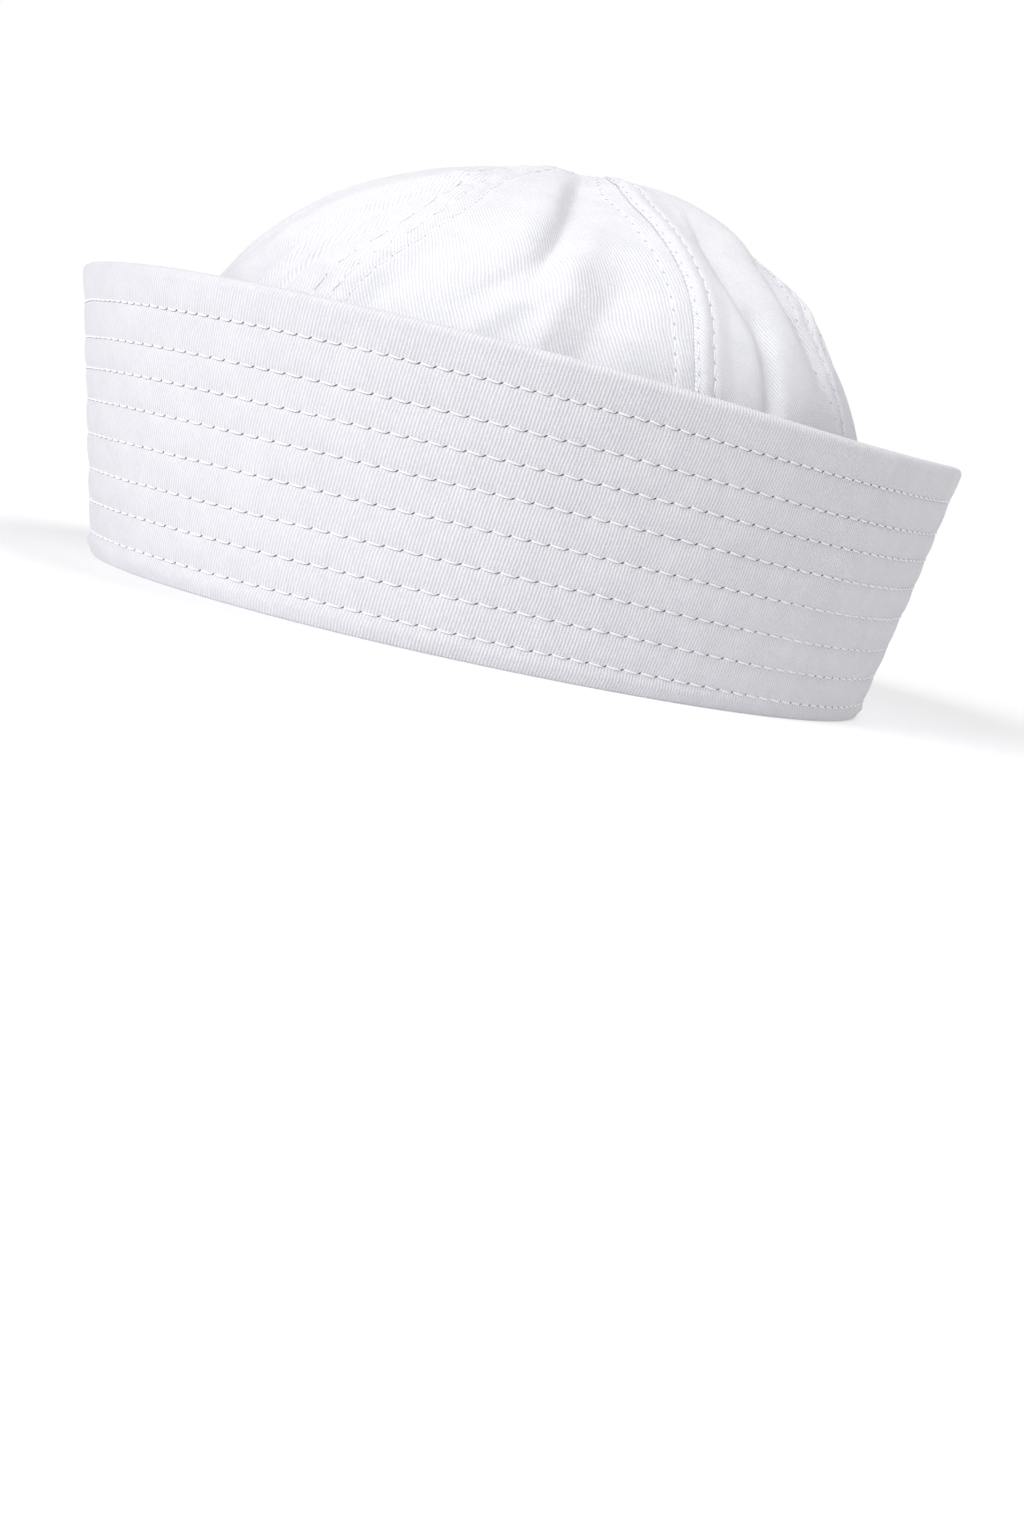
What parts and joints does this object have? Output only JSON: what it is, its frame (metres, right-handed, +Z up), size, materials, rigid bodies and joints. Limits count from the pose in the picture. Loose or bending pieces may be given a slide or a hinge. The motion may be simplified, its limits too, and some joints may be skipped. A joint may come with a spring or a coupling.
{
  "type": "sailor cap",
  "caption": "White cotton sailor cap: a domed crown of sewn panels with an upright turned-up brim, open below for the head.",
  "frame": {"origin": "middle of the cap's bounding box, on the surface the brim's bottom fold rests on", "axes": "+Z up, -Y to the front of the cap, so the long way of the head opening runs along Y; +X to the wearer's left"},
  "size_m": [0.1948, 0.228, 0.1075],
  "materials": {
    "brim_cloth": "matt white cotton twill, quilted with rows of stitching",
    "crown_cloth": "matt white cotton twill, soft folds"
  },
  "bodies": {
    "root": {"brim": "brim_cloth", "crown_panel_1": "crown_cloth", "crown_panel_2": "crown_cloth", "crown_panel_3": "crown_cloth", "crown_panel_4": "crown_cloth", "crown_panel_5": "crown_cloth", "crown_panel_6": "crown_cloth"}
  },
  "joints": []
}
